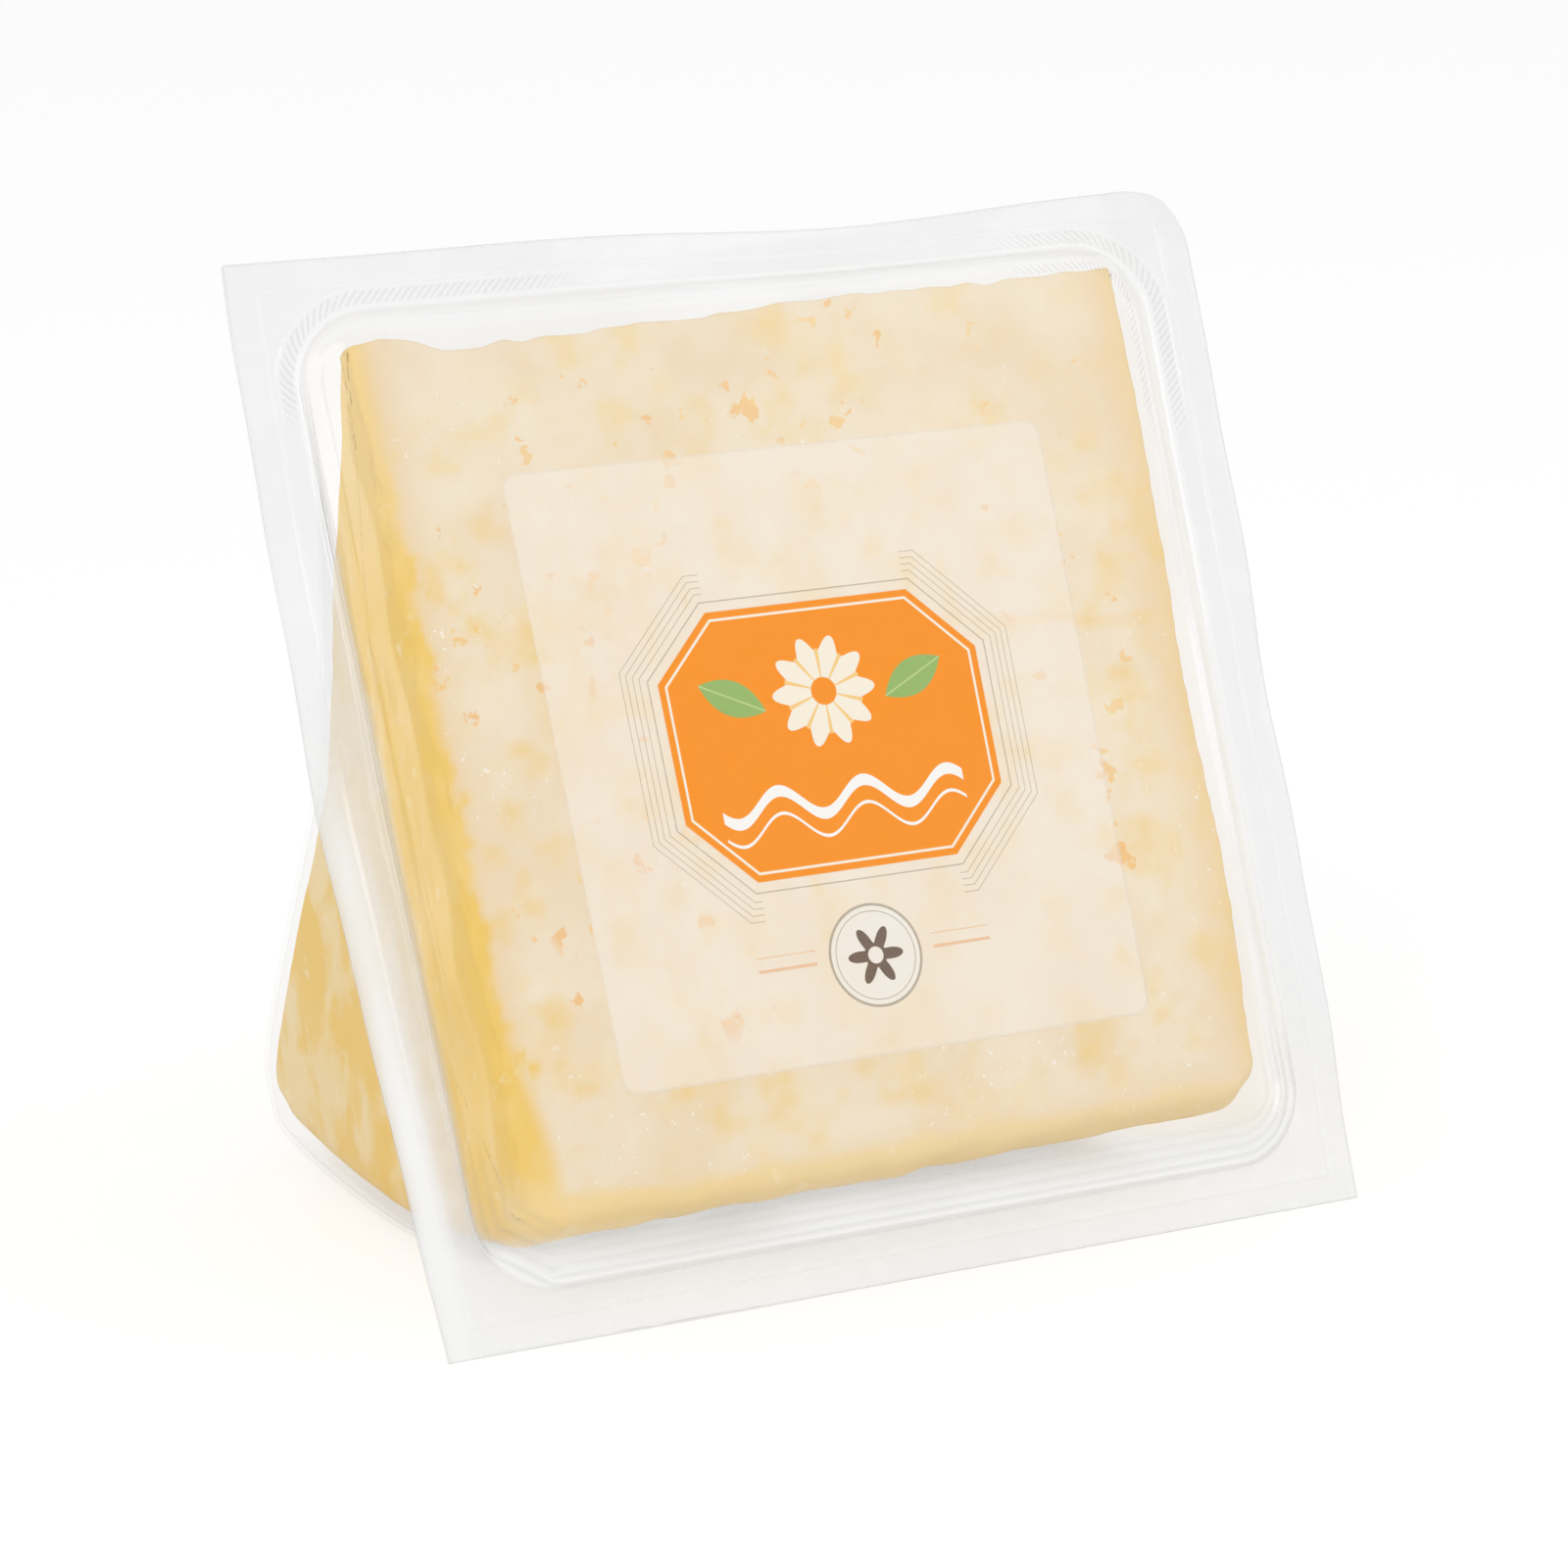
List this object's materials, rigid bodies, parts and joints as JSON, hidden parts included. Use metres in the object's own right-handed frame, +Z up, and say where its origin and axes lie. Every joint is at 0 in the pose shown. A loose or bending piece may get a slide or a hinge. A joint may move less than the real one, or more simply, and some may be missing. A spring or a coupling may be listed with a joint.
{
  "type": "sheep milk cheese wedge in a clear film pack",
  "caption": "Wedge of cured sheep milk cheese sealed in a clear formed film pack; it leans back like an easel, standing on the flange's lower edge and on the film under the rind.",
  "frame": {"origin": "middle of the bounding box, at the table the pack stands on", "axes": "+Z up, the lid and its label face -Y and lean back towards +Y, X runs along the wheel's height"},
  "size_m": [0.1112, 0.067, 0.1042],
  "materials": {
    "cheese": "matt, cut faces cream with small fruit specks, flat rinds mottled yellow; stands in for cheese",
    "pocket_film": "clear, slightly milky, glossy",
    "lid_film": "clear, slightly milky, glossy",
    "label": "satin, half see-through, printed with plain colour fields"
  },
  "bodies": {
    "root": {"cheese_wedge": "cheese", "pocket_film": "pocket_film", "lid_film": "lid_film", "front_label": "label"}
  },
  "joints": []
}
